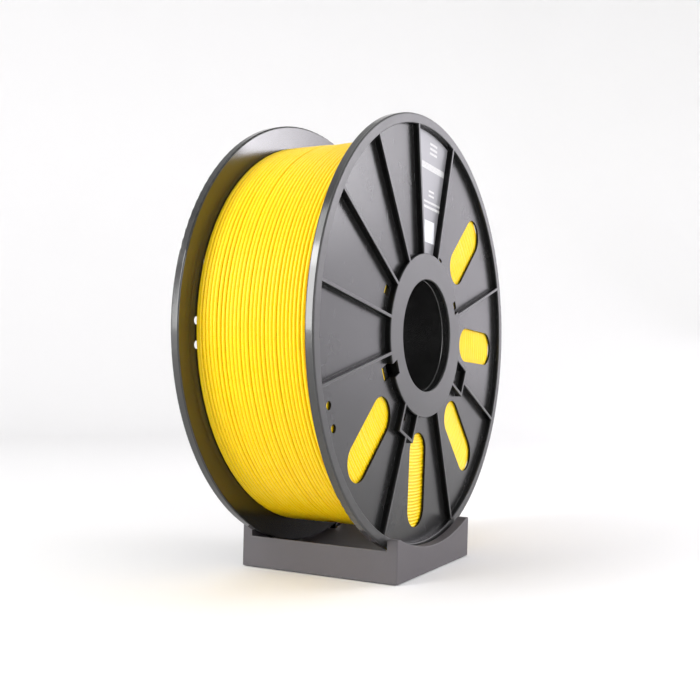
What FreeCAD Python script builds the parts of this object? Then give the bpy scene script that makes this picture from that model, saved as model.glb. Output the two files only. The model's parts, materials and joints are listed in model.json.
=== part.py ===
import FreeCAD, Part
import math
import os
from types import SimpleNamespace

import Sketcher
from FreeCAD import Placement, Rotation, Vector

# A filament spool standing on a small roller stand, in millimetres.
#
# Frame: the origin is the middle of the stand's footprint, on the table. +X runs along the spool's
# axis towards the labelled flange, -Y is the front, +Z is up.
#
# The stand is a block with a concave cradle. Two axles lie in channels cut from its underside, and
# each carries two small ball bearings that stand a little proud of the cradle, one under each
# flange. The spool rests on those four rollers and turns on them. A base plate closes the
# underside. The spool is a core drum between two flanges of one moulding, with the filament on it.

DIMENSIONS = [
    ("spool_diameter", 200.0, "outside diameter of both flanges"),
    ("spool_width", 66.5, "from one flange's outer face to the other's"),
    ("spool_axis_height", 108.2, "spool axis above the table"),
    ("bore_diameter", 52.0, "hole through the spool"),
    ("flange_thickness", 4.0, "at the rim, the ribs and the hub ring"),
    ("web_thickness", 1.0, "thin plate between hub ring and rim"),
    ("rim_face_width", 4.4, "flat ring at the flange's edge"),
    ("rim_rounding", 0.7, "radius on the rim's two edges"),
    ("hub_ring_diameter", 76.0, "raised ring around the bore"),
    ("bore_chamfer", 0.3, "at the mouths of the bore's three lengths"),
    ("rib_thickness", 1.3, "radial ribs on the web"),
    ("edge_break", 0.25, "small bevel on the flange's raised edges"),
    ("root_depth", 1.0, "how far ribs, tabs and rails start inside what carries them"),
    ("label_side_turn", -46.9, "angle of the windows' middle on the labelled flange"),
    ("plain_side_turn", 253.3, "the same for the plain flange, seen from its back"),
    ("close_rib_start", 121.9, "ribs of the side without windows: first angle"),
    ("close_rib_step", 23.9, "and the angle between them"),
    ("close_rib_count", 6, "number of those ribs"),
    ("wide_rib_start", -67.0, "ribs between the windows: first angle"),
    ("wide_rib_step", 44.3, "and the angle between them"),
    ("wide_rib_pairs", 2, "every other one of them starts at a frame, and there are two of each kind"),
    ("frame_outer_radius", 50.6, "frame around a tab slot, as far out as its end wall"),
    ("frame_width", 15.0, "that frame across the radius"),
    ("window_start", -90.0, "first window's angle"),
    ("window_step", 45.0, "angle between windows"),
    ("window_count", 5, "number of windows"),
    ("window_width", 17.3, "obround window across the radius"),
    ("window_inner_radius", 45.1, "where the windows begin"),
    ("window_outer_radius", 89.0, "where the windows end"),
    ("slot_start", 111.4, "tab slots around the hub ring: first angle"),
    ("slot_step", 90.0, "and the angle between them"),
    ("slot_count", 4, "number of those slots"),
    ("slot_width", 4.6, "tab slot across the radius"),
    ("slot_inner_radius", 38.2, "where the tab slots begin"),
    ("slot_outer_radius", 42.6, "where the tab slots end"),
    ("notch_start", 73.4, "notches in the hub ring: first angle"),
    ("notch_step", 180.0, "and the angle between them"),
    ("notch_count", 2, "number of those notches"),
    ("notch_width", 6.4, "notch across the radius"),
    ("notch_inner_radius", 33.4, "where the notches begin"),
    ("notch_outer_radius", 42.8, "where the notches end"),
    ("strand_hole_radius", 88.6, "distance of the two filament-end holes from the axis"),
    ("strand_hole_diameter", 3.6, "filament-end hole"),
    ("strand_hole_start", -112.3, "first filament-end hole's angle"),
    ("strand_hole_step", 6.4, "angle between the two holes"),
    ("strand_hole_count", 2, "number of those holes"),
    ("drum_diameter", 79.0, "outside of the drum that the filament is wound on"),
    ("drum_wall", 2.0, "drum wall"),
    ("sleeve_wall", 2.0, "wall of the core's inner sleeve"),
    ("core_web", 2.0, "disc in the middle of the core"),
    ("core_rib_thickness", 1.5, "radial ribs inside the core"),
    ("core_rib_count", 8, "number of those ribs"),
    ("tab_width", 4.2, "core tab across the radius"),
    ("tab_thickness", 1.1, "core tab along the radius"),
    ("tab_setback", 0.1, "tab's outer face inside the drum's surface, so that its corners are too"),
    ("joint_gap", 0.05, "clearance between pieces that fit face to face"),
    ("winding_diameter", 179.6, "outside of the wound filament"),
    ("winding_side_gap", 0.2, "between the winding and each flange"),
    ("label_radius", 49.3, "middle of the label from the axis"),
    ("label_angle", 84.6, "angle of the label's middle on the labelled flange"),
    ("label_tilt", 4.6, "label turned away from the radius"),
    ("label_height", 10.2, "label along the radius"),
    ("label_width", 10.8, "label across the radius"),
    ("label_thickness", 0.12, "paper label"),
    ("stand_length", 79.6, "stand along the spool's axis"),
    ("stand_depth", 79.4, "stand from front to back"),
    ("stand_top", 19.4, "corners of the stand above the table"),
    ("stand_off", 0.5, "body above the table, on its feet"),
    ("corner_rounding", 0.6, "upright corners of the stand"),
    ("top_rounding", 0.35, "upper edges of the stand"),
    ("cradle_radius", 101.7, "concave top between the end walls, about the spool's axis"),
    ("end_wall_thickness", 5.0, "end walls that keep the spool in place"),
    ("end_wall_radius", 96.3, "concave top of the end walls, about the spool's axis"),
    ("base_thickness", 2.0, "base plate"),
    ("base_inset", 2.4, "from the body's side to the base plate's edge"),
    ("roller_spread", 60.0, "between the two axles"),
    ("roller_gap", 0.03, "between flange and roller, so that they don't overlap"),
    ("roller_offset", 31.3, "middle of a roller from the middle of the stand"),
    ("roller_pocket_length", 6.0, "pocket for a roller along the axle"),
    ("roller_pocket_depth", 11.0, "pocket for a roller across the axle"),
    ("bearing_diameter", 10.0, "outside of a roller bearing"),
    ("bearing_bore", 3.0, "its bore"),
    ("bearing_width", 4.0, "its width"),
    ("ball_pitch_radius", 3.25, "circle of the balls' centres"),
    ("ball_radius", 0.794, "ball"),
    ("ball_count", 7, "balls in a bearing"),
    ("raceway_radius", 0.83, "grooves that the balls run in"),
    ("outer_race_inside", 3.9, "outer race's inner radius"),
    ("inner_race_outside", 2.6, "inner race's outer radius"),
    ("shield_seat_radius", 4.0, "seat of a shield in the outer race"),
    ("shield_seat_depth", 0.45, "depth of that seat"),
    ("shield_hole_radius", 2.75, "hole in a shield"),
    ("shield_thickness", 0.25, "shield"),
    ("shield_gap", 0.02, "clearance around a shield in its seat"),
    ("cage_inner_radius", 3.0, "ball cage, inside"),
    ("cage_outer_radius", 3.5, "ball cage, outside"),
    ("cage_width", 2.4, "ball cage along the axle"),
    ("cage_pocket_radius", 0.84, "round window of the cage around each ball"),
    ("axle_diameter", 2.98, "steel axle"),
    ("axle_length", 74.4, "steel axle"),
    ("axle_channel_width", 3.1, "channel for the axle in the body"),
    ("axle_channel_length", 74.7, "length of that channel"),
    ("shim_diameter", 5.0, "washer beside a bearing, outside"),
    ("shim_bore", 3.1, "its hole"),
    ("shim_thickness", 0.9, "its thickness"),
    ("rail_width", 2.8, "rails on the base plate that hold the axles up"),
    ("rail_length", 50.0, "their length"),
    ("screw_spread_x", 36.0, "between the base screws along the spool's axis"),
    ("screw_spread_y", 44.0, "between the base screws from front to back"),
    ("screw_diameter", 2.9, "base screw"),
    ("screw_length", 6.0, "base screw with its head"),
    ("screw_head_diameter", 5.6, "countersunk head"),
    ("countersink_gap", 0.1, "countersink wider than the screw head, all round"),
    ("screw_socket", 2.0, "hexagon socket across the flats"),
    ("screw_socket_depth", 1.0, "hexagon socket"),
    ("pilot_diameter", 3.0, "screw hole in the body"),
    ("pilot_top", 7.4, "height where the screw hole ends"),
    ("base_hole_diameter", 3.4, "screw hole in the base plate"),
    ("foot_spread_x", 56.0, "between the feet along the spool's axis"),
    ("foot_spread_y", 50.0, "between the feet from front to back"),
    ("foot_diameter", 12.0, "rubber foot"),
    ("foot_recess_depth", 0.8, "depth of the foot's recess in the base plate"),
    ("foot_rounding", 0.3, "lower edge of a foot"),
]

AXIS_TO_X = Rotation(Vector(1, 1, 1), 120)
TURN_ROUND = Rotation(Vector(0, 0, 1), 180)
X_AXIS = Vector(1, 0, 0)
SAME = 1e-3

doc = FreeCAD.newDocument("spool_stand")
sub_parts = []


# ---- The sheet and sizes that remember their cells ----

class Size:
    """A number together with the sheet expression that it comes from."""

    def __init__(self, value, text):
        self.value = float(value)
        self.text = text

    def joined(self, sign, other, value):
        other_text = other.text if isinstance(other, Size) else str(other)
        return Size(value, f"({self.text} {sign} {other_text})")

    def __add__(self, other):
        return self.joined("+", other, self.value + number(other))

    def __sub__(self, other):
        return self.joined("-", other, self.value - number(other))

    def __mul__(self, other):
        return self.joined("*", other, self.value * number(other))

    def __truediv__(self, other):
        return self.joined("/", other, self.value / number(other))

    def __neg__(self):
        return Size(-self.value, f"(-1 * {self.text})")


def number(size):
    return size.value if isinstance(size, Size) else float(size)


def square_root(size):
    return Size(math.sqrt(size.value), f"sqrt({size.text})")


def make_sheet():
    """Write the driving dimensions into a spreadsheet and return them as sizes by name."""
    sheet = doc.addObject("Spreadsheet::Sheet", "dims")
    sheet.set("A1", "dimension")
    sheet.set("B1", "value")
    for row, (name, value, meaning) in enumerate(DIMENSIONS, start=2):
        sheet.set(f"A{row}", meaning)
        sheet.set(f"B{row}", str(value))
        sheet.setAlias(f"B{row}", name)
    doc.recompute()
    sizes = {name: Size(sheet.get(name), f"dims.{name}") for name, _, _ in DIMENSIONS}
    return SimpleNamespace(**sizes)


dim = make_sheet()

FLANGE_SEAT = dim.spool_width / 2 - dim.flange_thickness
ROLLER_REACH = (dim.spool_diameter + dim.bearing_diameter) / 2 + dim.roller_gap
HALF_SPREAD = dim.roller_spread / 2
AXLE_HEIGHT = dim.spool_axis_height - square_root(ROLLER_REACH * ROLLER_REACH - HALF_SPREAD * HALF_SPREAD)
BASE_TOP = dim.stand_off + dim.base_thickness


def bind(item, **sizes):
    """Tie properties to the sheet; a double underscore in a name stands for a dot."""
    for name, size in sizes.items():
        if isinstance(size, Size):
            item.setExpression(name.replace("__", "."), size.text)
        else:
            setattr(item, name, size)


def keep(item, label):
    """Give a finished sub-part the label that names its file."""
    item.Label = label
    sub_parts.append(item)
    return item


def place(item, x, y, z, rotation):
    """Turn a sub-part, then tie its place to the sheet."""
    item.Placement = Placement(Vector(number(x), number(y), number(z)), rotation)
    for axis, size in (("x", x), ("y", y), ("z", z)):
        if isinstance(size, Size):
            item.setExpression(f"Placement.Base.{axis}", size.text)


# ---- Sketches ----

def new_body(label):
    body = doc.addObject("PartDesign::Body", f"{label}_body")
    return keep(body, label)


def new_sketch(body, name, plane="XY_Plane", turn=None, lift=None):
    """A sketch on one of the body's own origin planes, turned about and lifted along its normal."""
    sketch = body.newObject("Sketcher::SketchObject", name)
    support = next(f for f in body.Origin.OriginFeatures if f.Role == plane)
    sketch.AttachmentSupport = [(support, "")]
    sketch.MapMode = "FlatFace"
    if turn is not None:
        sketch.setExpression("AttachmentOffset.Rotation.Angle", turn.text)
    if lift is not None:
        sketch.setExpression("AttachmentOffset.Base.z", lift.text)
    return sketch


def measure(sketch, kind, elements, size):
    """Add a dimension and tie it to the sheet where it is a size."""
    index = sketch.addConstraint(Sketcher.Constraint(kind, *elements, abs(number(size))))
    if isinstance(size, Size):
        text = size.text if size.value > 0 else (-size).text
        sketch.setExpression(f"Constraints[{index}]", text)


def hold(sketch, item, point, across, up):
    """Hold a point of the sketch at a distance from its origin."""
    for kind, axis, size in (("DistanceX", -2, across), ("DistanceY", -1, up)):
        if number(size) == 0:
            sketch.addConstraint(Sketcher.Constraint("PointOnObject", item, point, axis))
        elif number(size) > 0:
            measure(sketch, kind, (-1, 1, item, point), size)
        else:
            measure(sketch, kind, (item, point, -1, 1), size)


def draw_outline(sketch, corners):
    """A closed outline of straight edges through corners given as pairs of sizes."""
    first = sketch.GeometryCount
    points = [Vector(number(across), number(up), 0) for across, up in corners]
    ends = points[1:] + points[:1]
    sketch.addGeometry([Part.LineSegment(start, end) for start, end in zip(points, ends)])
    for i, (across, up) in enumerate(corners):
        following = first + (i + 1) % len(corners)
        sketch.addConstraint(Sketcher.Constraint("Coincident", first + i, 2, following, 1))
        hold(sketch, first + i, 1, across, up)


def draw_rectangle(sketch, left, right, low, high):
    draw_outline(sketch, [(left, low), (right, low), (right, high), (left, high)])


def draw_frame(sketch, near, far, half, wall):
    """Three walls of a rectangle that is open on the side nearer to the sketch's origin."""
    inside, end = half - wall, far - wall
    draw_outline(sketch, [(near, -half), (far, -half), (far, half), (near, half),
                          (near, inside), (end, inside), (end, -inside), (near, -inside)])


def draw_circle(sketch, across, up, radius):
    centre = Vector(number(across), number(up), 0)
    circle = sketch.addGeometry(Part.Circle(centre, Vector(0, 0, 1), number(radius)))
    hold(sketch, circle, 3, across, up)
    measure(sketch, "Radius", (circle,), radius)


def draw_obround(sketch, start, end, radius):
    """A slot along the sketch's X axis, with round ends centred at start and end."""
    first = sketch.GeometryCount
    x1, x2, r = number(start), number(end), number(radius)
    quarter = math.pi / 2
    left = Part.Circle(Vector(x1, 0, 0), Vector(0, 0, 1), r)
    right = Part.Circle(Vector(x2, 0, 0), Vector(0, 0, 1), r)
    sketch.addGeometry([
        Part.ArcOfCircle(left, quarter, 3 * quarter),
        Part.LineSegment(Vector(x1, -r, 0), Vector(x2, -r, 0)),
        Part.ArcOfCircle(right, -quarter, quarter),
        Part.LineSegment(Vector(x2, r, 0), Vector(x1, r, 0)),
    ])
    for i in range(4):
        following = first + (i + 1) % 4
        sketch.addConstraint(Sketcher.Constraint("Tangent", first + i, 2, following, 1))
    hold(sketch, first, 3, start, 0)
    hold(sketch, first + 2, 3, end, 0)
    measure(sketch, "Radius", (first,), radius)


# ---- Features ----

def add_feature(body, kind, name, **settings):
    """A PartDesign feature whose effect on the body's volume is checked."""
    before = body.Shape.Volume if body.Tip else 0.0
    feature = body.newObject(f"PartDesign::{kind}", name)
    for key, value in settings.items():
        bind(feature, **{key: value})
    body.Tip = feature
    doc.recompute()
    if abs(body.Shape.Volume - before) < SAME:
        raise RuntimeError(f"{body.Label}: {name} changes nothing")
    return feature


def pad(body, name, sketch, length, both_ways=False):
    side = "Symmetric" if both_ways else "One side"
    return add_feature(body, "Pad", name, Profile=sketch, SideType=side, Length=length)


def cut_through(body, name, sketch):
    return add_feature(body, "Pocket", name, Profile=sketch, SideType="Symmetric", Type="ThroughAll")


def cut_both_ways(body, name, sketch, length):
    return add_feature(body, "Pocket", name, Profile=sketch, SideType="Symmetric", Length=length)


def cut_upwards(body, name, sketch, depth):
    """A pocket from the sketch along its normal."""
    return add_feature(body, "Pocket", name, Profile=sketch, Reversed=True, Length=depth)


def revolve(body, name, sketch):
    axis = (sketch, ["V_Axis"])
    return add_feature(body, "Revolution", name, Profile=sketch, ReferenceAxis=axis, Angle=360)


def repeat_around(body, name, feature, step, count, full_turn=False):
    """Repeat a feature about the body's Z axis."""
    angle = 360 if full_turn else step * (count - 1)
    axis = (feature.Profile[0], ["N_Axis"])
    return add_feature(body, "PolarPattern", name, Originals=[feature], Axis=axis, Angle=angle,
                       Occurrences=count)


def dress_edges(body, kind, name, size, wanted):
    """Round or bevel the edges of the tip that the test accepts."""
    base = body.Tip
    edges = [f"Edge{i}" for i, edge in enumerate(base.Shape.Edges, start=1) if wanted(edge)]
    amount = {"Fillet": "Radius", "Chamfer": "Size"}[kind]
    return add_feature(body, kind, name, Base=(base, edges), **{amount: size})


def is_circle(edge, radius, z):
    """Whether an edge is a full circle of that radius about an upright axis, at height z."""
    curve = edge.Curve
    if not isinstance(curve, Part.Circle) or abs(curve.Radius - number(radius)) > SAME:
        return False
    return abs(curve.Center.z - number(z)) < SAME and abs(abs(curve.Axis.z) - 1) < SAME


def is_upright(edge):
    ends = edge.Vertexes
    return abs(ends[0].X - ends[-1].X) < SAME and abs(ends[0].Y - ends[-1].Y) < SAME


# ---- Plain solids ----

def cylinder(name, radius, height, z=0, x=0, y=0):
    item = doc.addObject("Part::Cylinder", name)
    bind(item, Radius=radius, Height=height)
    place(item, x, y, z, Rotation())
    return item


def torus(name, ring_radius, tube_radius):
    item = doc.addObject("Part::Torus", name)
    bind(item, Radius1=ring_radius, Radius2=tube_radius)
    return item


def cut(name, base, tools):
    """Take one tool or the union of several away from a base."""
    tool = tools[0]
    if len(tools) > 1:
        tool = doc.addObject("Part::MultiFuse", f"{name}_tools")
        tool.Shapes = tools
    item = doc.addObject("Part::Cut", name)
    item.Base = base
    item.Tool = tool
    return item


def group(name, items):
    item = doc.addObject("Part::Compound", name)
    item.Links = items
    return item


def ring(name, outer_radius, inner_radius, height, z=0):
    outside = cylinder(f"{name}_outside", outer_radius, height, z)
    inside = cylinder(f"{name}_inside", inner_radius, height, z)
    return cut(name, outside, [inside])


# ---- The spool ----

def make_flange(label):
    """One flange lying on its inner face, outer face up, windows' middle along +X."""
    body = new_body(label)
    rim = dim.spool_diameter / 2
    rim_inside = rim - dim.rim_face_width
    hub = dim.hub_ring_diameter / 2
    bore = dim.bore_diameter / 2
    top = dim.flange_thickness
    web = dim.web_thickness

    profile = new_sketch(body, f"{label}_profile", "XZ_Plane")
    draw_outline(profile, [(bore, 0), (rim, 0), (rim, top), (rim_inside, top), (rim_inside, web),
                           (hub, web), (hub, top), (bore, top)])
    revolve(body, f"{label}_disc", profile)
    dress_edges(body, "Fillet", f"{label}_rim_rounding", dim.rim_rounding,
                lambda edge: is_circle(edge, rim, 0) or is_circle(edge, rim, top))
    dress_edges(body, "Chamfer", f"{label}_bore_chamfer", dim.bore_chamfer,
                lambda edge: is_circle(edge, bore, 0) or is_circle(edge, bore, top))
    dress_edges(body, "Chamfer", f"{label}_edge_break", dim.edge_break,
                lambda edge: is_circle(edge, hub, top) or is_circle(edge, rim_inside, top))

    inside, outside = hub - dim.root_depth, rim_inside + dim.root_depth
    wide_step = dim.wide_rib_step
    frame_inside = dim.frame_outer_radius - dim.rib_thickness
    rib_sets = {
        "close_ribs": (inside, dim.close_rib_start, dim.close_rib_step, dim.close_rib_count),
        "framed_ribs": (frame_inside, dim.wide_rib_start, wide_step * 2, dim.wide_rib_pairs),
        "wide_ribs": (inside, dim.wide_rib_start + wide_step, wide_step * 2, dim.wide_rib_pairs),
    }
    for name, (foot, start, step, count) in rib_sets.items():
        sketch = new_sketch(body, f"{label}_{name}_outline", turn=start)
        half = dim.rib_thickness / 2
        draw_rectangle(sketch, foot, outside, -half, half)
        rib = pad(body, f"{label}_{name}_first", sketch, top)
        repeat_around(body, f"{label}_{name}", rib, step, count)

    frame = new_sketch(body, f"{label}_frame_outline", turn=dim.wide_rib_start)
    draw_frame(frame, inside, dim.frame_outer_radius, dim.frame_width / 2, dim.rib_thickness)
    box = pad(body, f"{label}_frame", frame, top)
    repeat_around(body, f"{label}_frames", box, wide_step * 2, dim.wide_rib_pairs)

    window = new_sketch(body, f"{label}_window_outline", turn=dim.window_start)
    half = dim.window_width / 2
    draw_obround(window, dim.window_inner_radius + half, dim.window_outer_radius - half, half)
    opening = cut_through(body, f"{label}_window", window)
    repeat_around(body, f"{label}_windows", opening, dim.window_step, dim.window_count)

    opening_sets = {
        "slots": (dim.slot_inner_radius, dim.slot_outer_radius, dim.slot_width,
                  dim.slot_start, dim.slot_step, dim.slot_count),
        "notches": (dim.notch_inner_radius, dim.notch_outer_radius, dim.notch_width,
                    dim.notch_start, dim.notch_step, dim.notch_count),
    }
    for name, (low, high, width, start, step, count) in opening_sets.items():
        sketch = new_sketch(body, f"{label}_{name}_outline", turn=start)
        draw_rectangle(sketch, low, high, -width / 2, width / 2)
        slot = cut_through(body, f"{label}_{name}_first", sketch)
        repeat_around(body, f"{label}_{name}", slot, step, count)

    hole = new_sketch(body, f"{label}_strand_hole_outline", turn=dim.strand_hole_start)
    draw_circle(hole, dim.strand_hole_radius, 0, dim.strand_hole_diameter / 2)
    drilled = cut_through(body, f"{label}_strand_hole", hole)
    repeat_around(body, f"{label}_strand_holes", drilled, dim.strand_hole_step, dim.strand_hole_count)
    return body


def make_flanges():
    turn = number(dim.label_side_turn)
    labelled = make_flange("labelled_flange")
    place(labelled, FLANGE_SEAT, 0, dim.spool_axis_height, Rotation(X_AXIS, turn) * AXIS_TO_X)
    turn = number(dim.plain_side_turn)
    plain = make_flange("plain_flange")
    place(plain, -FLANGE_SEAT, 0, dim.spool_axis_height, Rotation(X_AXIS, turn) * TURN_ROUND * AXIS_TO_X)


def make_core():
    """The drum between the flanges, with tabs at both ends that enter the flanges' slots."""
    body = new_body("core_drum")
    end = FLANGE_SEAT - dim.joint_gap
    bore = dim.bore_diameter / 2
    sleeve = bore + dim.sleeve_wall
    drum = dim.drum_diameter / 2
    drum_inside = drum - dim.drum_wall
    disc = dim.core_web / 2

    profile = new_sketch(body, "core_profile", "XZ_Plane")
    draw_outline(profile, [(bore, -end), (sleeve, -end), (sleeve, -disc), (drum_inside, -disc),
                           (drum_inside, -end), (drum, -end), (drum, end), (drum_inside, end),
                           (drum_inside, disc), (sleeve, disc), (sleeve, end), (bore, end)])
    revolve(body, "core_turned", profile)
    dress_edges(body, "Chamfer", "core_bore_chamfer", dim.bore_chamfer,
                lambda edge: is_circle(edge, bore, end) or is_circle(edge, bore, -end))

    rib = new_sketch(body, "core_rib_outline")
    half = dim.core_rib_thickness / 2
    draw_rectangle(rib, sleeve - dim.root_depth, drum_inside + dim.root_depth, -half, half)
    first = pad(body, "core_rib", rib, end * 2, both_ways=True)
    repeat_around(body, "core_ribs", first, None, dim.core_rib_count, full_turn=True)

    # Seen from the labelled side, the plain flange's slots run the other way round.
    mirror = dim.plain_side_turn - 180 - dim.label_side_turn
    far_start = mirror - dim.slot_start - dim.slot_step * (dim.slot_count - 1)
    tab_sets = {"label_side": (dim.slot_start, 1), "plain_side": (far_start, -1)}
    for name, (start, side) in tab_sets.items():
        root = end - dim.root_depth
        reach = dim.web_thickness + dim.joint_gap + dim.root_depth
        lift = root if side > 0 else -(root + reach)
        sketch = new_sketch(body, f"{name}_tab_outline", turn=start, lift=lift)
        half = dim.tab_width / 2
        tab_outside = drum - dim.tab_setback
        draw_rectangle(sketch, tab_outside - dim.tab_thickness, tab_outside, -half, half)
        tab = pad(body, f"{name}_tab", sketch, reach)
        repeat_around(body, f"{name}_tabs", tab, dim.slot_step, dim.slot_count)
    place(body, 0, 0, dim.spool_axis_height, Rotation(X_AXIS, number(dim.label_side_turn)) * AXIS_TO_X)


def make_winding():
    half = FLANGE_SEAT - dim.winding_side_gap
    drum = dim.drum_diameter / 2 + dim.joint_gap
    winding = ring("winding", dim.winding_diameter / 2, drum, half * 2)
    place(winding, -half, 0, dim.spool_axis_height, AXIS_TO_X)
    keep(winding, "filament_winding")


def make_label():
    """A plain rectangular paper label on the web, beside the hub ring."""
    turn = math.radians(number(dim.label_angle))
    length, width = number(dim.label_height), number(dim.label_width)
    thickness = number(dim.label_thickness)
    sheet = Part.makeBox(length, width, thickness, Vector(-length / 2, -width / 2, 0))
    label = doc.addObject("Part::Feature", "label")
    label.Shape = sheet
    radius = number(dim.label_radius)
    x = number(FLANGE_SEAT) + number(dim.web_thickness)
    z = number(dim.spool_axis_height)
    centre = Vector(x, radius * math.cos(turn), z + radius * math.sin(turn))
    facing = number(dim.label_angle) + number(dim.label_tilt)
    label.Placement = Placement(centre, Rotation(X_AXIS, facing) * AXIS_TO_X)
    keep(label, "spool_label")


# ---- The stand ----

def corners_of(spread_x, spread_y):
    """The four corners of a rectangle about the stand's middle, as pairs of sizes."""
    half_x, half_y = spread_x / 2, spread_y / 2
    return [(half_x, half_y), (-half_x, half_y), (-half_x, -half_y), (half_x, -half_y)]


def on_stand_top(edge):
    """Whether an edge borders the stand's upper side and turns outwards."""
    box = edge.BoundBox
    inner_face = number(dim.stand_length) / 2 - number(dim.end_wall_thickness)
    cradle_low = number(dim.spool_axis_height) - number(dim.cradle_radius)
    if box.ZMin < cradle_low - SAME or is_upright(edge):
        return False
    at_wall_foot = abs(abs(box.XMin) - inner_face) < SAME and box.XLength < SAME
    on_cradle = abs(box.ZMin - cradle_low) < SAME
    return not (at_wall_foot and on_cradle)


def make_stand_body():
    body = new_body("stand_body")
    half_x, half_y = dim.stand_length / 2, dim.stand_depth / 2
    footprint = new_sketch(body, "stand_footprint", lift=dim.stand_off)
    draw_rectangle(footprint, -half_x, half_x, -half_y, half_y)
    pad(body, "stand_block", footprint, dim.stand_top - dim.stand_off)
    dress_edges(body, "Fillet", "stand_corner_rounding", dim.corner_rounding, is_upright)

    cradle = new_sketch(body, "cradle_outline", "YZ_Plane")
    draw_circle(cradle, 0, dim.spool_axis_height, dim.cradle_radius)
    cut_both_ways(body, "cradle", cradle, dim.stand_length - dim.end_wall_thickness * 2)
    end_arc = new_sketch(body, "end_wall_outline", "YZ_Plane")
    draw_circle(end_arc, 0, dim.spool_axis_height, dim.end_wall_radius)
    cut_through(body, "end_wall_arcs", end_arc)
    dress_edges(body, "Fillet", "stand_top_rounding", dim.top_rounding, on_stand_top)

    recess = new_sketch(body, "base_recess_outline")
    inset = dim.base_inset - dim.joint_gap
    draw_rectangle(recess, inset - half_x, half_x - inset, inset - half_y, half_y - inset)
    cut_upwards(body, "base_recess", recess, BASE_TOP)

    pockets = new_sketch(body, "roller_pocket_outlines")
    long, deep = dim.roller_pocket_length / 2, dim.roller_pocket_depth / 2
    for x, y in corners_of(dim.roller_offset * 2, dim.roller_spread):
        draw_rectangle(pockets, x - long, x + long, y - deep, y + deep)
    cut_through(body, "roller_pockets", pockets)

    channels = new_sketch(body, "axle_channel_outlines", "YZ_Plane")
    half = dim.axle_channel_width / 2
    for y in (HALF_SPREAD, -HALF_SPREAD):
        draw_channel(channels, y, half, AXLE_HEIGHT)
    cut_both_ways(body, "axle_channels", channels, dim.axle_channel_length)

    pilots = new_sketch(body, "screw_pilot_outlines")
    for x, y in corners_of(dim.screw_spread_x, dim.screw_spread_y):
        draw_circle(pilots, x, y, dim.pilot_diameter / 2)
    cut_upwards(body, "screw_pilots", pilots, dim.pilot_top)


def draw_channel(sketch, middle, half, height):
    """An upright slot, open below the table and with a round top centred at the axle."""
    first = sketch.GeometryCount
    y, r, z = number(middle), number(half), number(height)
    crown = Part.Circle(Vector(y, z, 0), Vector(0, 0, 1), r)
    sketch.addGeometry([
        Part.ArcOfCircle(crown, 0, math.pi),
        Part.LineSegment(Vector(y - r, z, 0), Vector(y - r, 0, 0)),
        Part.LineSegment(Vector(y - r, 0, 0), Vector(y + r, 0, 0)),
        Part.LineSegment(Vector(y + r, 0, 0), Vector(y + r, z, 0)),
    ])
    sketch.addConstraint(Sketcher.Constraint("Tangent", first, 2, first + 1, 1))
    sketch.addConstraint(Sketcher.Constraint("Coincident", first + 1, 2, first + 2, 1))
    sketch.addConstraint(Sketcher.Constraint("Coincident", first + 2, 2, first + 3, 1))
    sketch.addConstraint(Sketcher.Constraint("Tangent", first + 3, 2, first, 1))
    hold(sketch, first, 3, middle, height)
    measure(sketch, "Radius", (first,), half)
    sketch.addConstraint(Sketcher.Constraint("PointOnObject", first + 1, 2, -1))
    sketch.addConstraint(Sketcher.Constraint("PointOnObject", first + 2, 2, -1))


def make_base_plate():
    """The plate that closes the underside, with rails that hold the axles up in their channels."""
    body = new_body("base_plate")
    half_x = dim.stand_length / 2 - dim.base_inset
    half_y = dim.stand_depth / 2 - dim.base_inset
    outline = new_sketch(body, "base_outline", lift=dim.stand_off)
    draw_rectangle(outline, -half_x, half_x, -half_y, half_y)
    pad(body, "base_sheet", outline, dim.base_thickness)

    rails = new_sketch(body, "rail_outlines", lift=BASE_TOP - dim.root_depth)
    half = dim.rail_width / 2
    for y in (HALF_SPREAD, -HALF_SPREAD):
        draw_rectangle(rails, -dim.rail_length / 2, dim.rail_length / 2, y - half, y + half)
    axle_bottom = AXLE_HEIGHT - dim.axle_diameter / 2 - dim.joint_gap
    pad(body, "rails", rails, axle_bottom - BASE_TOP + dim.root_depth)

    holes = new_sketch(body, "base_hole_outlines")
    for x, y in corners_of(dim.screw_spread_x, dim.screw_spread_y):
        draw_circle(holes, x, y, dim.base_hole_diameter / 2)
    cut_through(body, "base_holes", holes)
    sink = (dim.screw_head_diameter - dim.base_hole_diameter) / 2 + dim.countersink_gap
    dress_edges(body, "Chamfer", "countersinks", sink,
                lambda edge: is_circle(edge, dim.base_hole_diameter / 2, dim.stand_off))

    recesses = new_sketch(body, "foot_recess_outlines")
    for x, y in corners_of(dim.foot_spread_x, dim.foot_spread_y):
        draw_circle(recesses, x, y, dim.foot_diameter / 2 + dim.joint_gap)
    cut_upwards(body, "foot_recesses", recesses, dim.stand_off + dim.foot_recess_depth)


def make_feet():
    names = ("rear_right", "rear_left", "front_left", "front_right")
    for name, (x, y) in zip(names, corners_of(dim.foot_spread_x, dim.foot_spread_y)):
        body = new_body(f"foot_{name}")
        outline = new_sketch(body, f"foot_{name}_outline")
        draw_circle(outline, 0, 0, dim.foot_diameter / 2)
        pad(body, f"foot_{name}_pad", outline, dim.stand_off + dim.foot_recess_depth - dim.joint_gap)
        dress_edges(body, "Fillet", f"foot_{name}_rounding", dim.foot_rounding,
                    lambda edge: is_circle(edge, dim.foot_diameter / 2, 0))
        place(body, x, y, 0, Rotation())


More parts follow.
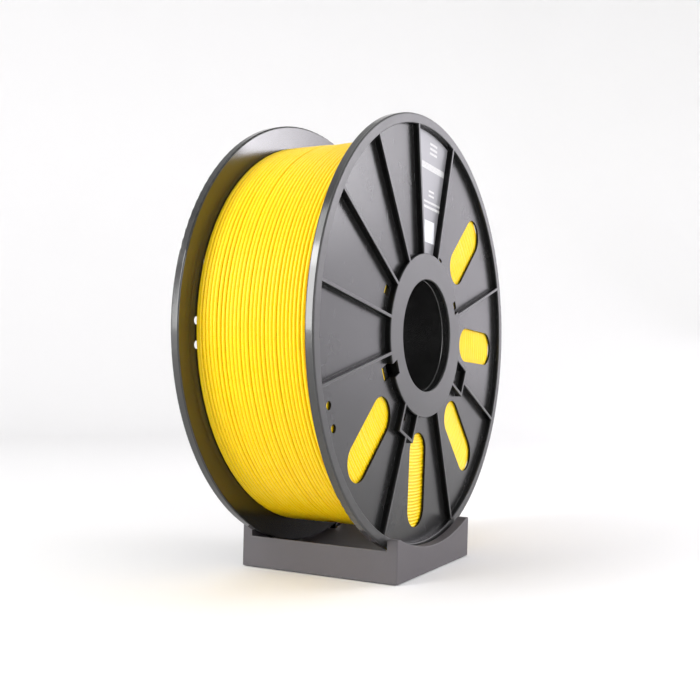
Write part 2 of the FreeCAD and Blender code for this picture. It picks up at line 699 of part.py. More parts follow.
def make_screws():
    """Countersunk socket screws that come up through the base plate into the body."""
    screws = []
    head_radius, shank_radius = dim.screw_head_diameter / 2, dim.screw_diameter / 2
    for i, (x, y) in enumerate(corners_of(dim.screw_spread_x, dim.screw_spread_y)):
        head = doc.addObject("Part::Cone", f"screw_{i}_head")
        bind(head, Radius1=head_radius, Radius2=shank_radius, Height=head_radius - shank_radius)
        shank = cylinder(f"screw_{i}_shank", shank_radius, dim.screw_length)
        whole = doc.addObject("Part::Fuse", f"screw_{i}_whole")
        whole.Base = head
        whole.Tool = shank
        socket = doc.addObject("Part::Prism", f"screw_{i}_socket")
        socket.Polygon = 6
        across_flats = Size(math.sqrt(3), "sqrt(3)")
        bind(socket, Circumradius=dim.screw_socket / across_flats, Height=dim.screw_socket_depth)
        screw = cut(f"screw_{i}", whole, [socket])
        place(screw, x, y, dim.stand_off + dim.joint_gap, Rotation())
        screws.append(screw)
    keep(group("screws", screws), "base_screws")


def make_axles():
    for name, y in (("rear", HALF_SPREAD), ("front", -HALF_SPREAD)):
        axle = cylinder(f"{name}_rod", dim.axle_diameter / 2, dim.axle_length)
        place(axle, -dim.axle_length / 2, y, AXLE_HEIGHT, AXIS_TO_X)
        keep(axle, f"axle_{name}")
        shims = []
        beside = dim.bearing_width / 2 + dim.joint_gap / 2
        places = [-dim.roller_offset - beside - dim.shim_thickness, -dim.roller_offset + beside,
                  dim.roller_offset - beside - dim.shim_thickness, dim.roller_offset + beside]
        for i, x in enumerate(places):
            shim = ring(f"{name}_shim_{i}", dim.shim_diameter / 2, dim.shim_bore / 2, dim.shim_thickness)
            place(shim, x, y, AXLE_HEIGHT, AXIS_TO_X)
            shims.append(shim)
        keep(group(f"{name}_shims", shims), f"shims_{name}")


def make_bearing(name, x, y):
    """A shielded ball bearing: outer race, inner race, balls, cage and shields."""
    half = dim.bearing_width / 2
    groove = (dim.ball_pitch_radius, dim.raceway_radius)

    seat = (dim.shield_seat_radius, dim.shield_seat_depth)
    outside = cylinder(f"{name}_outer_blank", dim.bearing_diameter / 2, dim.bearing_width, -half)
    hole = cylinder(f"{name}_outer_hole", dim.outer_race_inside, dim.bearing_width, -half)
    seat_up = cylinder(f"{name}_seat_up", *seat, half - dim.shield_seat_depth)
    seat_down = cylinder(f"{name}_seat_down", *seat, -half)
    outer_groove = torus(f"{name}_outer_groove", *groove)
    outer = cut(f"{name}_outer", outside, [hole, seat_up, seat_down, outer_groove])

    inside = cylinder(f"{name}_inner_blank", dim.inner_race_outside, dim.bearing_width, -half)
    bore = cylinder(f"{name}_inner_bore", dim.bearing_bore / 2, dim.bearing_width, -half)
    inner = cut(f"{name}_inner", inside, [bore, torus(f"{name}_inner_groove", *groove)])

    balls, windows = [], []
    for i in range(int(number(dim.ball_count))):
        turn = 360 * i / number(dim.ball_count)
        outwards = Vector(math.cos(math.radians(turn)), math.sin(math.radians(turn)), 0)
        ball = doc.addObject("Part::Sphere", f"{name}_ball_{i}")
        bind(ball, Radius=dim.ball_radius)
        place(ball, dim.ball_pitch_radius * outwards.x, dim.ball_pitch_radius * outwards.y, 0, Rotation())
        balls.append(ball)
        window = cylinder(f"{name}_window_{i}", dim.cage_pocket_radius, dim.cage_outer_radius * 2)
        place(window, 0, 0, 0, Rotation(Vector(0, 0, 1), outwards))
        windows.append(window)
    ball_set = group(f"{name}_ball_set", balls)
    cage_width = dim.cage_width
    sleeve = ring(f"{name}_cage_ring", dim.cage_outer_radius, dim.cage_inner_radius, cage_width,
                  -cage_width / 2)
    cage = cut(f"{name}_cage_cut", sleeve, windows)

    edge = dim.shield_seat_radius - dim.shield_gap
    inset = half - dim.shield_seat_depth + dim.shield_gap
    shield = (edge, dim.shield_hole_radius, dim.shield_thickness)
    shields = group(f"{name}_shield_pair", [
        ring(f"{name}_shield_up", *shield, inset),
        ring(f"{name}_shield_down", *shield, -inset - dim.shield_thickness),
    ])

    pieces = {"outer_race": outer, "inner_race": inner, "balls": ball_set, "cage": cage, "shields": shields}
    for piece, item in pieces.items():
        place(item, x, y, AXLE_HEIGHT, AXIS_TO_X)
        keep(item, f"{name}_{piece}")


def make_bearings():
    names = ("rear_right", "rear_left", "front_left", "front_right")
    for name, (x, y) in zip(names, corners_of(dim.roller_offset * 2, dim.roller_spread)):
        make_bearing(f"bearing_{name}", x, y)


# ---- Build, check and write ----

def check_document():
    for item in doc.Objects:
        if "Invalid" in item.State or "Error" in item.State:
            raise RuntimeError(f"{item.Name} failed: {item.State}")
    labels = [item.Label for item in sub_parts]
    if len(set(labels)) != len(labels):
        raise RuntimeError("two sub-parts share a label")
    for item in sub_parts:
        if item.Shape.isNull() or not item.Shape.isValid() or item.Shape.Volume <= 0:
            raise RuntimeError(f"{item.Label} has no valid solid")


make_flanges()
make_core()
make_winding()
make_label()
make_stand_body()
make_base_plate()
make_feet()
make_screws()
make_axles()
make_bearings()
doc.recompute()
check_document()

os.makedirs("parts", exist_ok=True)
for sub_part in sub_parts:
    sub_part.Shape.exportStep(os.path.join("parts", f"{sub_part.Label}.step"))
print(f"{len(sub_parts)} sub-parts written")
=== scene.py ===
import json
import math

import bpy
import numpy as np
from mathutils import Matrix, Vector


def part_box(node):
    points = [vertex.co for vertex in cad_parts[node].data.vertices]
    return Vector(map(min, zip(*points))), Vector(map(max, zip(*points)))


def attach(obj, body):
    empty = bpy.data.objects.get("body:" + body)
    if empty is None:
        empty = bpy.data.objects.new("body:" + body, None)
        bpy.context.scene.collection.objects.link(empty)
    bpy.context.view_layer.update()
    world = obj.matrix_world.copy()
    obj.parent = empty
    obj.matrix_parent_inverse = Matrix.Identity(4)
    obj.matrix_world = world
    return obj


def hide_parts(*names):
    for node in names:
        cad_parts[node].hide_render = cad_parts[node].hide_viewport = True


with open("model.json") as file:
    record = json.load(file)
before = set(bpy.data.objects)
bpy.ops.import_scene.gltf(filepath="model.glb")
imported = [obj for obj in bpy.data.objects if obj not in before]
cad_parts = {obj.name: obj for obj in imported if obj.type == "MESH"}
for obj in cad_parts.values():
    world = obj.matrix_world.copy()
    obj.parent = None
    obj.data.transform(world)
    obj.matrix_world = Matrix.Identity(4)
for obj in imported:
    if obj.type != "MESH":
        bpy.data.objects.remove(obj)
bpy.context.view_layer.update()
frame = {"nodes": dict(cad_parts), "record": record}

# A black spool of yellow filament on a small black roller stand, in metres.
#
# The spool turns about a line along X. Everything on it is placed by how far it is from that line,
# its angle about it (from +Y towards +Z) and its X.

MM = 0.001
WINDING_LOW, WINDING_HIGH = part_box("filament_winding")
AXIS_HEIGHT = (WINDING_LOW.z + WINDING_HIGH.z) / 2
WINDING_RADIUS = (WINDING_HIGH.z - WINDING_LOW.z) / 2
WINDING_HALF = WINDING_HIGH.x
DRUM_LOW, DRUM_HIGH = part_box("core_drum")
DRUM_RADIUS = (DRUM_HIGH.z - DRUM_LOW.z) / 2
FLANGE_LOW, FLANGE_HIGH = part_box("labelled_flange")
SPOOL_RADIUS = (FLANGE_HIGH.z - FLANGE_LOW.z) / 2
WEB_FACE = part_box("spool_label")[0].x
BORE_RADIUS = 26 * MM

STRAND = 1.75 * MM
STRAND_RADIUS = STRAND / 2


# ---- Materials ----

class Material:
    """A node material made step by step. Coordinates are the object's own, in metres."""

    def __init__(self, name):
        self.material = bpy.data.materials.new(name)
        self.material.use_nodes = True
        self.tree = self.material.node_tree
        self.shader = self.tree.nodes["Principled BSDF"]
        coordinates = self.tree.nodes.new("ShaderNodeTexCoord")
        self.position = coordinates.outputs["Object"]

    def put(self, socket, value):
        """Link a node's output to an input, or give the input a plain value."""
        if isinstance(value, bpy.types.NodeSocket):
            self.tree.links.new(value, socket)
        else:
            socket.default_value = value

    def node(self, kind, settings=None, **inputs):
        made = self.tree.nodes.new(f"ShaderNode{kind}")
        for key, value in (settings or {}).items():
            setattr(made, key, value)
        for key, value in inputs.items():
            self.put(made.inputs[key.replace("_", " ")], value)
        return made

    def math(self, operation, *values):
        made = self.tree.nodes.new("ShaderNodeMath")
        made.operation = operation
        for socket, value in zip(made.inputs, values):
            self.put(socket, value)
        return made.outputs[0]

    def noise(self, grain, detail=2.0, stretch=(1, 1, 1)):
        """Noise whose blotches are about grain metres across, longer along a stretched axis."""
        squeeze = [1 / s for s in stretch]
        moved = self.node("Mapping", Vector=self.position, Scale=squeeze)
        made = self.node("TexNoise", Vector=moved.outputs[0], Scale=1 / grain, Detail=detail,
                         Roughness=0.5)
        return made.outputs[0]

    def ramp(self, value, low, high, to_low=0.0, to_high=1.0):
        """Take low..high to to_low..to_high, and hold it beyond."""
        made = self.tree.nodes.new("ShaderNodeMapRange")
        for socket, part in zip(made.inputs, (value, low, high, to_low, to_high)):
            self.put(socket, part)
        return made.outputs[0]

    def mix(self, share, first, second):
        """Blend two colours."""
        made = self.tree.nodes.new("ShaderNodeMix")
        made.data_type = "RGBA"
        self.put(made.inputs[0], share)
        self.put(made.inputs[6], first)
        self.put(made.inputs[7], second)
        return made.outputs[2]

    def edges(self, width):
        """0 on flat stretches, rising to 1 within about that width of a corner."""
        rounded = self.node("Bevel", {"samples": 4}, Radius=width).outputs[0]
        flat = self.node("NewGeometry").outputs["Normal"]
        turned = self.node("VectorMath", {"operation": "DOT_PRODUCT"})
        self.put(turned.inputs[0], rounded)
        self.put(turned.inputs[1], flat)
        return self.ramp(turned.outputs["Value"], 0.995, 0.90)

    def bump(self, height, depth, strength=1.0, normal=None):
        made = self.node("Bump", Strength=strength, Distance=depth, Height=height)
        if normal is not None:
            self.put(made.inputs["Normal"], normal)
        return made.outputs[0]

    def finish(self, **inputs):
        for key, value in inputs.items():
            self.put(self.shader.inputs[key.replace("_", " ")], value)
        return self.material


def grey(value, warmth=0.0):
    return (value * (1 + warmth), value, value * (1 - warmth), 1)


def spool_plastic():
    """Injection-moulded black: sleek web, finely spark-eroded raised faces, pale rubbed corners.

    The sides of ribs and rim get painted shade, nearly black and with less specular; it eases off
    near their crest and close to the rim. The rim's outside and the faces towards the winding are
    the glossiest.
    """
    m = Material("spool_plastic")
    across, along, up = m.node("SeparateXYZ", Vector=m.position).outputs
    raised = m.ramp(m.math("ABSOLUTE", across), WEB_FACE + 1.8 * MM, WEB_FACE + 2.6 * MM)
    height = m.math("SUBTRACT", up, AXIS_HEIGHT)
    radius = m.math("SQRT", m.math("ADD", m.math("POWER", along, 2), m.math("POWER", height, 2)))
    facing = m.node("SeparateXYZ", Vector=m.node("NewGeometry").outputs["True Normal"]).outputs[0]
    upright = m.ramp(m.math("ABSOLUTE", facing), 0.3, 0.1)
    between = m.math("MULTIPLY", m.ramp(radius, SPOOL_RADIUS - 2 * MM, SPOOL_RADIUS - 4 * MM),
                     m.ramp(radius, BORE_RADIUS + 1 * MM, BORE_RADIUS + 2 * MM))
    # Painted shade on the sides of ribs and rim: colour nearly black and specular level lowered,
    # easing off near their crest and close to the rim, where those sides catch more light.
    crest = m.ramp(m.math("ABSOLUTE", across), WEB_FACE + 2.9 * MM, WEB_FACE + 2.1 * MM, 0.45, 1)
    rim_side = m.ramp(radius, SPOOL_RADIUS - 7 * MM, SPOOL_RADIUS - 5.5 * MM, 1, 0.55)
    shade = m.math("MULTIPLY", crest, rim_side)
    painted_wall_shade = m.math("MULTIPLY", upright, m.math("MULTIPLY", between, shade))
    cloud = m.noise(18 * MM, 3)
    grain = m.noise(0.35 * MM, 3)
    scuffs = m.ramp(m.noise(1.2 * MM, 4, stretch=(1, 1, 6)), 0.62, 0.75)
    worn = m.math("MULTIPLY", m.edges(0.25 * MM), m.ramp(grain, 0.35, 0.6, 0.5, 1.0))
    colour = m.mix(cloud, grey(0.011), grey(0.016))
    colour = m.mix(raised, colour, grey(0.030))
    colour = m.mix(m.math("MULTIPLY", scuffs, 0.15), colour, grey(0.05))
    colour = m.mix(m.math("MULTIPLY", worn, 0.5), colour, grey(0.10))
    # Painted shade: the sides of ribs and rim are darkened almost to black.
    colour = m.mix(m.math("MULTIPLY", painted_wall_shade, 0.85), colour, grey(0.004))
    rough = m.ramp(cloud, 0.3, 0.7, 0.22, 0.28)
    rough = m.math("ADD", rough, m.math("MULTIPLY", raised, 0.10))
    rough = m.math("ADD", rough, m.math("MULTIPLY", scuffs, 0.04))
    rim = m.math("MULTIPLY", upright, m.ramp(radius, SPOOL_RADIUS - 2 * MM, SPOOL_RADIUS - 1 * MM))
    inner = m.ramp(m.math("ABSOLUTE", across), WINDING_HALF + 0.6 * MM, WINDING_HALF + 0.2 * MM)
    sleek = m.math("MAXIMUM", rim, inner)
    rough = m.math("SUBTRACT", rough, m.math("MULTIPLY", sleek, 0.06))
    rough = m.math("SUBTRACT", rough, m.math("MULTIPLY", rim, 0.08))
    shine = m.math("ADD", m.ramp(painted_wall_shade, 0, 1, 0.5, 0.1), m.math("MULTIPLY", sleek, 0.4))
    rounded = m.node("Bevel", {"samples": 4}, Radius=0.2 * MM).outputs[0]
    normal = m.bump(grain, 0.012 * MM, 0.6, rounded)
    return m.finish(Base_Color=colour, Roughness=rough, Specular_IOR_Level=shine, Normal=normal)


def stand_plastic():
    """Matt dark plastic with a fine even grain, paler where its corners are rubbed."""
    m = Material("stand_plastic")
    cloud = m.noise(14 * MM, 3)
    grain = m.noise(0.30 * MM, 3)
    specks = m.ramp(m.noise(0.7 * MM, 2), 0.68, 0.74)
    worn = m.math("MULTIPLY", m.edges(0.35 * MM), m.ramp(grain, 0.35, 0.6, 0.5, 1.0))
    colour = m.mix(cloud, (0.072, 0.066, 0.071, 1), (0.092, 0.084, 0.090, 1))
    colour = m.mix(m.math("MULTIPLY", specks, 0.2), colour, grey(0.16))
    colour = m.mix(m.math("MULTIPLY", worn, 0.55), colour, grey(0.24))
    rough = m.ramp(cloud, 0.3, 0.7, 0.50, 0.58)
    rounded = m.node("Bevel", {"samples": 4}, Radius=0.3 * MM).outputs[0]
    normal = m.bump(grain, 0.02 * MM, 0.7, rounded)
    return m.finish(Base_Color=colour, Roughness=rough, Normal=normal)


def filament():
    """Glossy yellow strand with a faint waviness from the extruder."""
    m = Material("filament")
    cloud = m.noise(9 * MM, 3)
    fine = m.noise(0.8 * MM, 2)
    colour = m.mix(cloud, (0.95, 0.61, 0.003, 1), (0.97, 0.67, 0.006, 1))
    rough = m.ramp(fine, 0.3, 0.7, 0.26, 0.36)
    normal = m.bump(fine, 0.02 * MM, 0.5)
    m.shader.subsurface_method = "RANDOM_WALK"
    return m.finish(Base_Color=colour, Roughness=rough, Normal=normal, Specular_IOR_Level=0.35,
                    Subsurface_Weight=0.35, Subsurface_Radius=(1.0, 0.6, 0.1),
                    Subsurface_Scale=1.2 * MM)


def inner_filament_painted_shade():
    """The same strands deeper in the winding, seen only in the gaps between the outer ones."""
    m = Material("inner_filament_painted_shade")
    cloud = m.noise(5 * MM, 3)
    # Painted shade: a darker, more orange copy of the filament's colour, for the shade in the gaps
    # between the outer turns.
    colour = m.mix(cloud, (0.86, 0.52, 0.004, 1), (0.90, 0.58, 0.006, 1))
    across = m.node("SeparateXYZ", Vector=m.position).outputs[0]
    turns = m.math("SINE", m.math("MULTIPLY", across, 2 * math.pi / STRAND))
    normal = m.bump(turns, 0.1 * MM, 1.0)
    return m.finish(Base_Color=colour, Roughness=0.45, Normal=normal)


def steel(name, colour, rough, lines):
    """Turned and ground steel, with fine lines around its axis along X."""
    m = Material(name)
    around = m.noise(lines, 4, stretch=(0.2, 6, 6))
    cloud = m.noise(3 * MM, 2)
    tint = m.mix(cloud, [c * 0.85 for c in colour] + [1], list(colour) + [1])
    roughness = m.ramp(around, 0.3, 0.7, rough - 0.07, rough + 0.08)
    normal = m.bump(around, 0.004 * MM, 0.5)
    return m.finish(Base_Color=tint, Metallic=1.0, Roughness=roughness, Normal=normal)


def rubber():
    m = Material("foot_rubber")
    grain = m.noise(0.25 * MM, 4)
    dust = m.ramp(m.noise(2 * MM, 4), 0.55, 0.75)
    colour = m.mix(m.math("MULTIPLY", dust, 0.35), grey(0.018), grey(0.10, 0.05))
    normal = m.bump(grain, 0.05 * MM, 0.8)
    return m.finish(Base_Color=colour, Roughness=m.ramp(grain, 0.3, 0.7, 0.72, 0.9), Normal=normal)


def paper():
    m = Material("label_paper")
    fibres = m.noise(0.22 * MM, 4, stretch=(1, 1, 3))
    cloud = m.noise(4 * MM, 2)
    colour = m.mix(cloud, (0.62, 0.64, 0.67, 1), (0.70, 0.71, 0.73, 1))
    normal = m.bump(fibres, 0.01 * MM, 0.6)
    return m.finish(Base_Color=colour, Roughness=m.ramp(fibres, 0.3, 0.7, 0.55, 0.7), Normal=normal)


def ink():
    """Pad-printed pale ink, thin in places."""
    m = Material("pale_ink")
    thin = m.ramp(m.noise(0.5 * MM, 3), 0.35, 0.6)
    colour = m.mix(thin, grey(0.44), grey(0.58))
    return m.finish(Base_Color=colour, Roughness=m.ramp(thin, 0, 1, 0.45, 0.55))


def film():
    """Thin greyish film that the marks are printed on."""
    m = Material("label_film")
    cloud = m.noise(12 * MM, 3)
    colour = m.mix(cloud, (0.21, 0.21, 0.225, 1), (0.24, 0.24, 0.255, 1))
    normal = m.bump(m.noise(2.5 * MM, 2), 0.02 * MM, 0.4)
    return m.finish(Base_Color=colour, Roughness=m.ramp(cloud, 0.3, 0.7, 0.32, 0.38), Normal=normal)


def studio_white():
    m = Material("studio_white")
    cloud = m.noise(0.35, 2)
    colour = m.mix(cloud, grey(0.82, 0.002), grey(0.835, 0.002))
    return m.finish(Base_Color=colour, Roughness=0.9, Specular_IOR_Level=0.1)


MATERIALS = {
    "spool_plastic": spool_plastic(),
    "stand_plastic": stand_plastic(),
    "filament": filament(),
    "label_paper": paper(),
    "axle_steel": steel("axle_steel", (0.56, 0.56, 0.57), 0.26, 0.15 * MM),
    "bearing_steel": steel("bearing_steel", (0.62, 0.61, 0.60), 0.20, 0.10 * MM),
    "screw_steel": steel("screw_steel", (0.10, 0.10, 0.11), 0.38, 0.15 * MM),
    "foot_rubber": rubber(),
}
INNER_FILAMENT_PAINTED_SHADE = inner_filament_painted_shade()
INK = ink()
FILM = film()
WHITE = studio_white()


def dress_cad_nodes():
    for part in frame["record"]["subparts"]:
        node = frame["nodes"][part["node"]]
        node.data.materials.clear()
        node.data.materials.append(MATERIALS[part["material_slot"]])


# ---- Mesh helpers ----

def new_piece(name, points, faces, material, body=None, smooth=True):
    mesh = bpy.data.meshes.new(name)
    mesh.from_pydata(points, [], faces)
    mesh.materials.append(material)
    mesh.polygons.foreach_set("use_smooth", [smooth] * len(mesh.polygons))
    mesh.update()
    piece = bpy.data.objects.new(name, mesh)
    bpy.context.scene.collection.objects.link(piece)
    if body is not None:
        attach(piece, body)
    return piece


def grid_faces(rows, columns, closed_rows=False):
    """Quads over rows of points, where each row closes on itself."""
    faces = []
    for i in range(rows if closed_rows else rows - 1):
        for j in range(columns):
            a, b = i * columns, (i + 1) % rows * columns
            k = (j + 1) % columns
            faces.append((a + j, a + k, b + k, b + j))
    return faces


def tube_about_axis(across, radius, angle, thickness, sides):
    """Rings of points of a strand that runs around the spool: its X, radius and angle by step."""
    turn = np.arange(sides) * 2 * math.pi / sides
    x = across[:, None] + thickness * np.cos(turn)
    r = radius[:, None] + thickness * np.sin(turn)
    y = r * np.cos(angle)[:, None]
    z = r * np.sin(angle)[:, None] + AXIS_HEIGHT
    return np.stack([x, y, z], axis=-1).reshape(-1, 3)


# ---- The winding ----

SIDES = 8
STEPS = 90
LAYERS = 3
WOUND_RADIUS = WINDING_RADIUS - 0.1 * MM
OUTER_SEED = 41
SIDE_SEED = 7


def wander(rng, steps, strength, waves):
    """A smooth closed random curve over one turn."""
    angle = np.arange(steps) * 2 * math.pi / steps
    curve = np.zeros(steps)
    for k in range(1, waves + 1):
        curve += rng.normal(0, 1 / k) * np.cos(k * angle + rng.uniform(0, 2 * math.pi))
    return strength * curve


def lay_turns(rng):
    """X of every turn of the outermost layers, laid side by side from flange to flange and back."""
    edge = WINDING_HALF - STRAND_RADIUS
    share = np.arange(STEPS) / STEPS
    turns = []
    direction = 1
    for layer in range(LAYERS):
        place = -direction * edge + wander(rng, STEPS, 0.20 * MM, 3) * direction
        place = np.clip(place, -edge, edge)
        while direction * place.mean() < edge - 0.6 * STRAND:
            turns.append(place + direction * share * STRAND)
            looseness = rng.uniform(0.0, 0.05) + (0.17 if rng.random() < 0.2 else 0.0)
            gap = looseness * (0.6 + 0.5 * np.abs(wander(rng, STEPS, 1.0, 2)))
            place = place + direction * STRAND * (1.0 + gap)
        direction = -direction
    return np.clip(np.array(turns), -edge, edge)


def stack_turns(across):
    """How far each turn lies above the lowest ones, resting in the grooves of the turns below it."""
    heights = np.zeros_like(across)
    for i in range(1, len(across)):
        apart = np.abs(across[:i] - across[i])
        touching = apart < STRAND * 0.985
        rest = heights[:i] + np.sqrt(np.maximum(STRAND ** 2 - apart ** 2, 0))
        heights[i] = np.where(touching, rest, 0).max(axis=0)
    return heights


def smooth_along(values, reach):
    """Average a strand's values over neighbouring steps, keeping its ends."""
    kernel = np.hanning(2 * reach + 3)[1:-1]
    padded = np.pad(values, reach, mode="edge")
    return np.convolve(padded, kernel / kernel.sum(), mode="valid")


def make_outer_turns():
    rng = np.random.default_rng(OUTER_SEED)
    turns = lay_turns(rng)
    heights = stack_turns(turns)
    across = smooth_along(turns.ravel(), 3)
    height = smooth_along(heights.ravel(), 4)
    usual_top = np.percentile(height, 80)
    radius = WOUND_RADIUS - STRAND_RADIUS - usual_top + height
    radius = np.minimum(radius, WINDING_RADIUS - STRAND_RADIUS)
    angle = np.arange(len(across)) * 2 * math.pi / STEPS
    points = tube_about_axis(across, radius, angle, STRAND_RADIUS, SIDES)
    faces = grid_faces(len(across), SIDES)
    last = len(points) - SIDES
    faces.append(tuple(reversed(range(SIDES))))
    faces.append(tuple(last + i for i in range(SIDES)))
    piece = new_piece("filament_outer_turns", points.tolist(), faces, MATERIALS["filament"],
                      "spool")
    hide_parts("filament_winding")
    return usual_top


def make_side_turns():
    """The end turn of every layer, seen through the flanges' windows."""
    rng = np.random.default_rng(SIDE_SEED)
    step = STRAND * math.sqrt(3) / 2
    count = int((WOUND_RADIUS - DRUM_RADIUS - 0.3 * STRAND) / step)
    angle = np.arange(STEPS) * 2 * math.pi / STEPS
    points, faces = [], []
    for side in (-1, 1):
        for i in range(count + 1):
            inset = 0.15 * MM * (i % 2)
            sway = np.abs(wander(rng, STEPS, 0.05 * MM, 4))
            x = WINDING_HALF - STRAND_RADIUS - 0.02 * MM - inset - sway
            r = DRUM_RADIUS + STRAND_RADIUS + i * step + wander(rng, STEPS, 0.05 * MM, 3)
            if i == count:
                x = np.full(STEPS, WINDING_HALF - STRAND_RADIUS)
                r = np.full(STEPS, WOUND_RADIUS - STRAND_RADIUS)
            start = len(points)
            points.extend(tube_about_axis(side * x, r, angle, STRAND_RADIUS, SIDES).tolist())
            ring = grid_faces(STEPS, SIDES, closed_rows=True)
            faces.extend(tuple(start + k for k in face) for face in ring)
    return new_piece("filament_side_turns", points, faces, MATERIALS["filament"], "spool")


def make_inner_turns(depth):
    """A plain ring that stands for the buried turns, up to the grooves of the ones that are seen."""
    outer = WOUND_RADIUS - STRAND - depth
    inner = DRUM_RADIUS + 0.1 * MM
    half = WINDING_HALF - 0.45 * MM
    shoulder = half - 0.9 * MM
    edge = WOUND_RADIUS - 0.45 * MM
    profile = [(-half, inner), (half, inner), (half, edge), (shoulder, edge), (shoulder, outer),
               (-shoulder, outer), (-shoulder, edge), (-half, edge)]
    points = []
    for k in range(STEPS * 2):
        angle = k * math.pi / STEPS
        points.extend((x, r * math.cos(angle), AXIS_HEIGHT + r * math.sin(angle)) for x, r in profile)
    faces = grid_faces(STEPS * 2, len(profile), closed_rows=True)
    return new_piece("filament_inner_turns", points, faces, INNER_FILAMENT_PAINTED_SHADE, "spool",
                     smooth=False)


# ---- Printed marks ----

PRINT_ANGLE = math.radians(89)
PRINT_OFFSET = -6.0 * MM
PRINT_THICKNESS = 0.03 * MM
# Plain bars on the web beside the label: middle and size, along and across the print's direction.
PRINT_BARS = [
    (90.4, 0.0, 1.1, 8.0),
    (88.2, 0.0, 1.1, 8.0),
    (86.0, 0.0, 1.1, 8.0),
    (79.3, 0.0, 3.0, 25.0),
    (68.2, 1.0, 0.9, 6.0),
    (66.1, 1.0, 0.9, 6.0),
    (62.9, 0.0, 1.0, 18.0),
    (60.5, 0.0, 1.2, 17.5),
]


FILM_THICKNESS = 0.03 * MM
# Edges of the film: the angles of the two ribs beside it, and its reach from the spool's axis.
FILM_RIBS = (math.radians(75.0), math.radians(98.9))
FILM_REACH = (38.6 * MM, 94.9 * MM)
FILM_MARGIN = 0.8 * MM


def make_film():
    """A thin sheet on the web that fills the sector between two ribs."""
    steps = 12
    front = []
    for k in range(steps + 1):
        share = k / steps
        for radius in FILM_REACH:
            margin = FILM_MARGIN / radius
            angle = FILM_RIBS[0] + margin + share * (FILM_RIBS[1] - FILM_RIBS[0] - 2 * margin)
            front.append((WEB_FACE + FILM_THICKNESS, radius * math.cos(angle),
                          AXIS_HEIGHT + radius * math.sin(angle)))
    faces = [(2 * k, 2 * k + 1, 2 * k + 3, 2 * k + 2) for k in range(steps)]
    return new_piece("label_film", front, faces, FILM, "spool", smooth=False)


def make_print():
    out = Vector((0, math.cos(PRINT_ANGLE), math.sin(PRINT_ANGLE)))
    side = Vector((0, -math.sin(PRINT_ANGLE), math.cos(PRINT_ANGLE)))
    centre = Vector((WEB_FACE + FILM_THICKNESS, 0, AXIS_HEIGHT))
    points, faces = [], []
    for along, across, height, width in PRINT_BARS:
        start = len(points)
        middle = centre + out * along * MM + side * (across * MM + PRINT_OFFSET)
        reach, breadth = out * height * MM / 2, side * width * MM / 2
        corners = [-reach - breadth, reach - breadth, reach + breadth, -reach + breadth]
        for lift in (0, PRINT_THICKNESS):
            points.extend(middle + corner + Vector((lift, 0, 0)) for corner in corners)
        box = [(0, 1, 2, 3), (7, 6, 5, 4), (0, 4, 5, 1), (1, 5, 6, 2), (2, 6, 7, 3), (3, 7, 4, 0)]
        faces.extend(tuple(start + k for k in face) for face in box)
    return new_piece("printed_bars", points, faces, INK, "spool", smooth=False)


# ---- Studio ----

SWEEP_FLAT = 0.9
SWEEP_BEND = 0.5
SWEEP_HEIGHT = 1.4


def make_sweep():
    """A round seamless backdrop: flat floor that curves up into a wall on every side."""
    profile = [(0.0, 0.0), (0.3, 0.0), (0.6, 0.0), (SWEEP_FLAT, 0.0)]
    bends = 16
    for k in range(1, bends + 1):
        turn = k / bends * math.pi / 2
        profile.append((SWEEP_FLAT + SWEEP_BEND * math.sin(turn), SWEEP_BEND * (1 - math.cos(turn))))
    profile.append((SWEEP_FLAT + SWEEP_BEND, SWEEP_HEIGHT))
    around = 96
    points = [(0.0, 0.0, 0.0)]
    for r, z in profile[1:]:
        for k in range(around):
            angle = 2 * math.pi * k / around
            points.append((r * math.cos(angle), r * math.sin(angle), z))
    faces = [(0, 1 + k, 1 + (k + 1) % around) for k in range(around)]
    faces.extend(tuple(k + 1 for k in reversed(face)) for face in grid_faces(len(profile) - 1, around))
    new_piece("studio_sweep", points, faces, WHITE)


WORLD_STRENGTH = 0.62


def make_light(name, direction, distance, width, height, power, tint=(1, 1, 1)):
    """A soft box aimed at the spool's middle."""
    data = bpy.data.lights.new(name, "AREA")
    data.shape = "RECTANGLE"
    data.size, data.size_y = width, height
    data.energy = power
    data.color = tint
    light = bpy.data.objects.new(name, data)
    bpy.context.scene.collection.objects.link(light)
    target = Vector((0, 0, AXIS_HEIGHT))
    away = Vector(direction).normalized()
    light.location = target + away * distance
    light.rotation_mode = "QUATERNION"
    light.rotation_quaternion = away.to_track_quat("Z", "Y")
    light.visible_camera = False


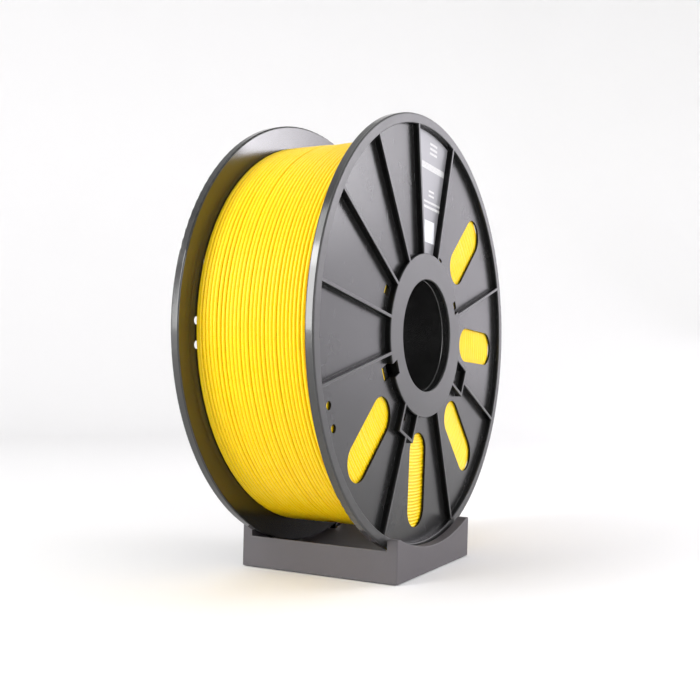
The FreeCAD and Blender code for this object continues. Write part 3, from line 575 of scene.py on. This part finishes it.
def make_lights():
    world = bpy.data.worlds.new("studio_world")
    world.use_nodes = True
    background = world.node_tree.nodes["Background"]
    background.inputs["Color"].default_value = (1, 1, 1, 1)
    background.inputs["Strength"].default_value = WORLD_STRENGTH
    bpy.context.scene.world = world
    make_light("front_left_box", (-0.45, -0.88, 0.27), 1.15, 0.48, 0.85, 9.3)
    make_light("front_high_box", (-0.43, -0.62, 0.66), 1.15, 0.3, 0.6, 2.0)
    make_light("back_right_box", (0.485, 0.875, 0.25), 1.10, 1.1, 0.7, 3.5, (1.0, 0.945, 1.06))
    make_light("back_strip", (0.700, 0.642, 0.305), 1.05, 0.5, 0.22, 2.6, (1.0, 0.98, 1.03))
    make_light("right_box", (0.93, -0.25, 0.28), 1.2, 0.6, 0.6, 4.2)
    make_light("top_box", (0.0, 0.0, 1.0), 1.2, 1.2, 1.2, 2.4)


CAMERA_PLACE = (0.20772, -0.37872, 0.08668)
CAMERA_AZIMUTH = math.radians(25.46)
CAMERA_ELEVATION = math.radians(0.49)
CAMERA_ROLL = math.radians(1.41)
CAMERA_LENS = 46.104
CAMERA_SHIFT = (-0.0934, 0.0565)


def make_camera():
    a, e, roll = CAMERA_AZIMUTH, CAMERA_ELEVATION, CAMERA_ROLL
    back = Vector((math.sin(a) * math.cos(e), -math.cos(a) * math.cos(e), math.sin(e)))
    right = Vector((math.cos(a), math.sin(a), 0))
    up = back.cross(right)
    tilted_right = right * math.cos(roll) + up * math.sin(roll)
    tilted_up = up * math.cos(roll) - right * math.sin(roll)
    data = bpy.data.cameras.new("camera")
    data.lens = CAMERA_LENS
    data.sensor_width = 36
    data.shift_x, data.shift_y = CAMERA_SHIFT
    data.clip_start, data.clip_end = 0.01, 20
    camera = bpy.data.objects.new("camera", data)
    bpy.context.scene.collection.objects.link(camera)
    camera.matrix_world = Matrix((tilted_right, tilted_up, back)).transposed().to_4x4()
    camera.location = CAMERA_PLACE
    bpy.context.scene.camera = camera


# ---- Scene ----

dress_cad_nodes()
depth = make_outer_turns()
make_side_turns()
make_inner_turns(depth)
make_film()
make_print()
make_sweep()
make_lights()
make_camera()
bpy.context.scene.view_settings.view_transform = "Standard"
